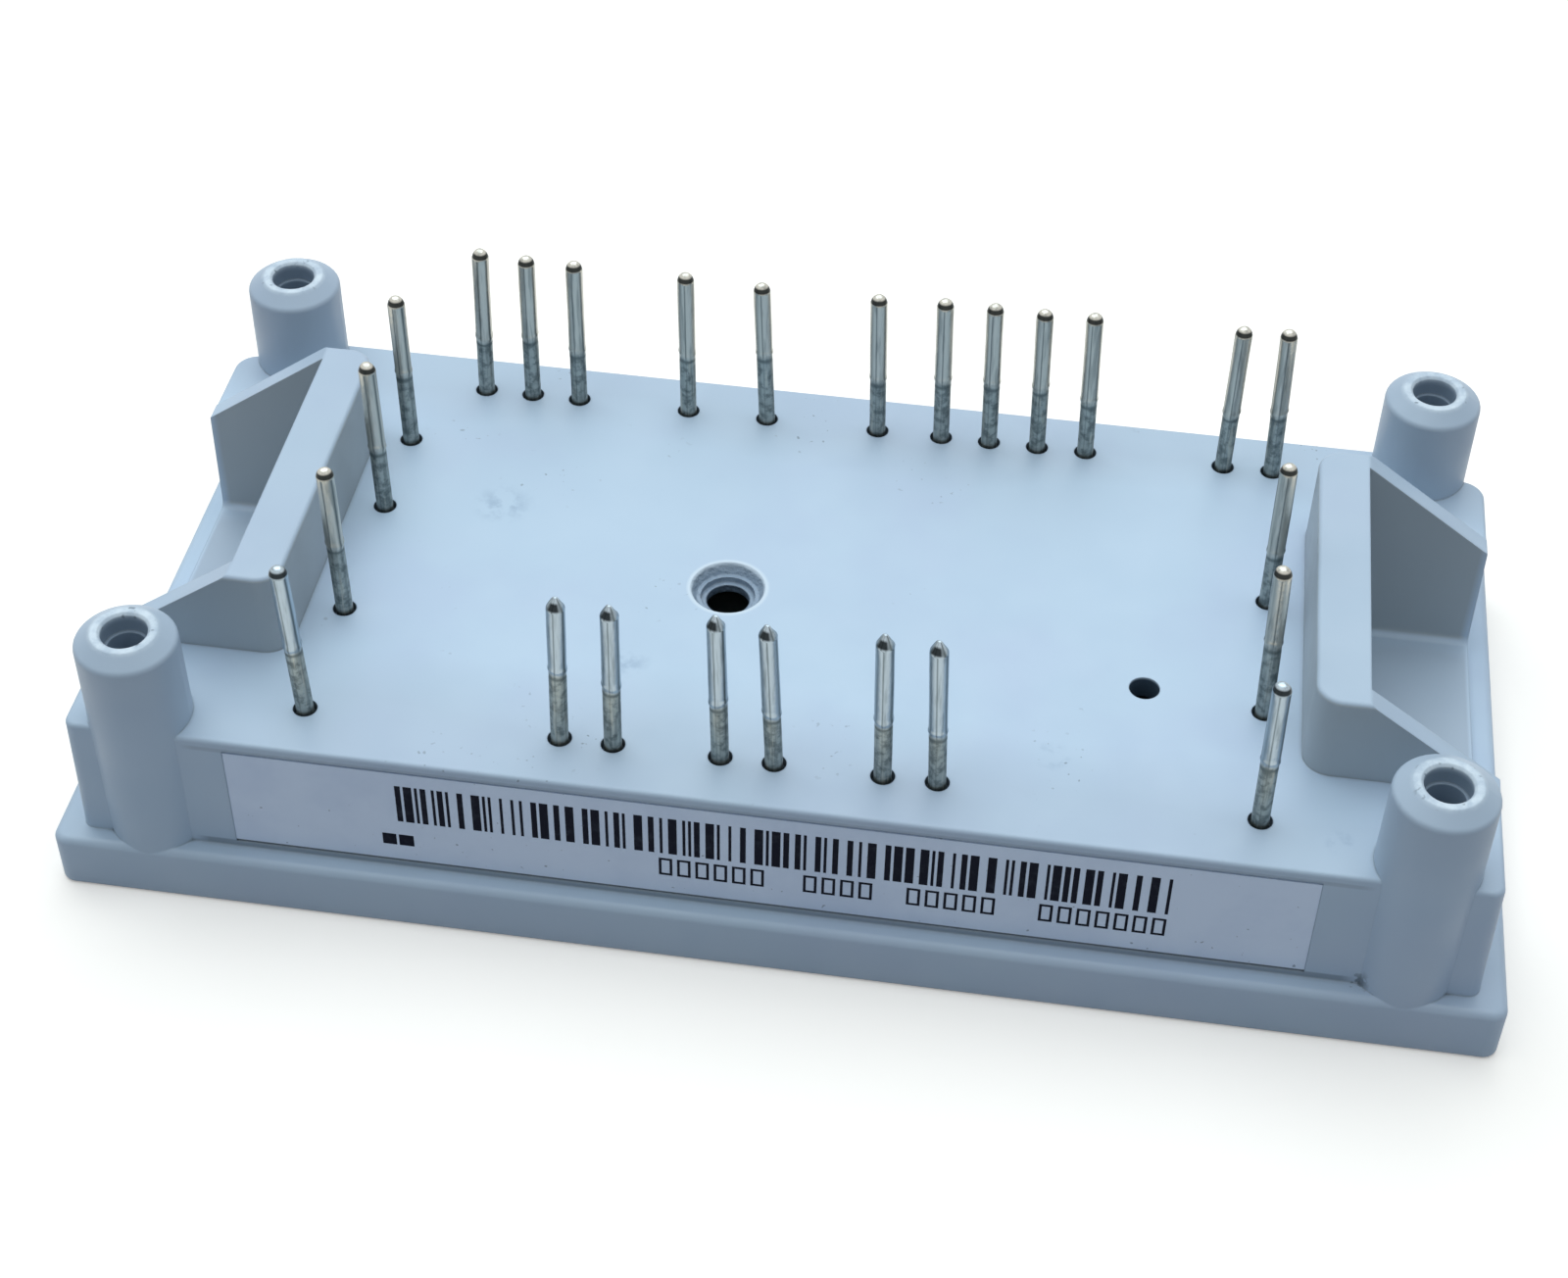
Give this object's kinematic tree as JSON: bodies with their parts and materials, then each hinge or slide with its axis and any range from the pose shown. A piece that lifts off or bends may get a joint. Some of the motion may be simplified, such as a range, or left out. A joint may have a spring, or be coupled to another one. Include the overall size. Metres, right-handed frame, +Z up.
{
  "type": "three-phase bridge rectifier module",
  "caption": "Flat power module in a pale moulded housing with corner screw posts, end clamp pockets and upright solder pins round the cover.",
  "frame": {"origin": "middle of the underside, on the heatsink plane", "axes": "+X along the length, +Y towards the longest row of pins, +Z up along the pins"},
  "size_m": [0.0822, 0.0386, 0.0225],
  "materials": {
    "housing_plastic": "pale grey glass-filled moulding, fine matte grain",
    "label_film": null,
    "alumina_ceramic": "fired alumina, smooth and matte",
    "copper_foil": "bare bonded copper, lightly brushed",
    "silicone_gel": "clear soft potting gel",
    "silicon_chip": "metallised silicon die",
    "thermistor_body": "sintered oxide block",
    "aluminium_ribbon": "ultrasonically bonded aluminium ribbon",
    "tinned_pin": "dull tin plate on copper"
  },
  "bodies": {
    "root": {"housing": "housing_plastic", "label": "label_film", "ceramic_substrate": "alumina_ceramic", "base_copper": "copper_foil", "silicone_gel": "silicone_gel", "thermistor": "thermistor_body", "dc_minus_track": "copper_foil", "dc_plus_track": "copper_foil", "auxiliary_pads": "copper_foil", "thermistor_pads": "copper_foil", "phase_track_1": "copper_foil", "phase_track_2": "copper_foil", "phase_track_3": "copper_foil", "terminal_pad_1": "copper_foil", "terminal_pad_2": "copper_foil", "terminal_pad_3": "copper_foil", "diode_low_1": "silicon_chip", "diode_low_2": "silicon_chip", "diode_low_3": "silicon_chip", "diode_high_1": "silicon_chip", "diode_high_2": "silicon_chip", "diode_high_3": "silicon_chip", "low_side_ribbons_1": "aluminium_ribbon", "low_side_ribbons_2": "aluminium_ribbon", "low_side_ribbons_3": "aluminium_ribbon", "high_side_ribbons_1": "aluminium_ribbon", "high_side_ribbons_2": "aluminium_ribbon", "high_side_ribbons_3": "aluminium_ribbon", "link_ribbons_1": "aluminium_ribbon", "link_ribbons_2": "aluminium_ribbon", "link_ribbons_3": "aluminium_ribbon", "sense_ribbons": "aluminium_ribbon", "pin_back_01": "tinned_pin", "pin_back_02": "tinned_pin", "pin_back_03": "tinned_pin", "pin_back_04": "tinned_pin", "pin_back_05": "tinned_pin", "pin_back_06": "tinned_pin", "pin_back_07": "tinned_pin", "pin_back_08": "tinned_pin", "pin_back_09": "tinned_pin", "pin_back_10": "tinned_pin", "pin_back_11": "tinned_pin", "pin_back_12": "tinned_pin", "pin_left_1": "tinned_pin", "pin_left_2": "tinned_pin", "pin_left_3": "tinned_pin", "pin_left_4": "tinned_pin", "pin_right_1": "tinned_pin", "pin_right_2": "tinned_pin", "pin_right_3": "tinned_pin", "pin_front_1": "tinned_pin", "pin_front_2": "tinned_pin", "pin_front_3": "tinned_pin", "pin_front_4": "tinned_pin", "pin_front_5": "tinned_pin", "pin_front_6": "tinned_pin"}
  },
  "joints": []
}
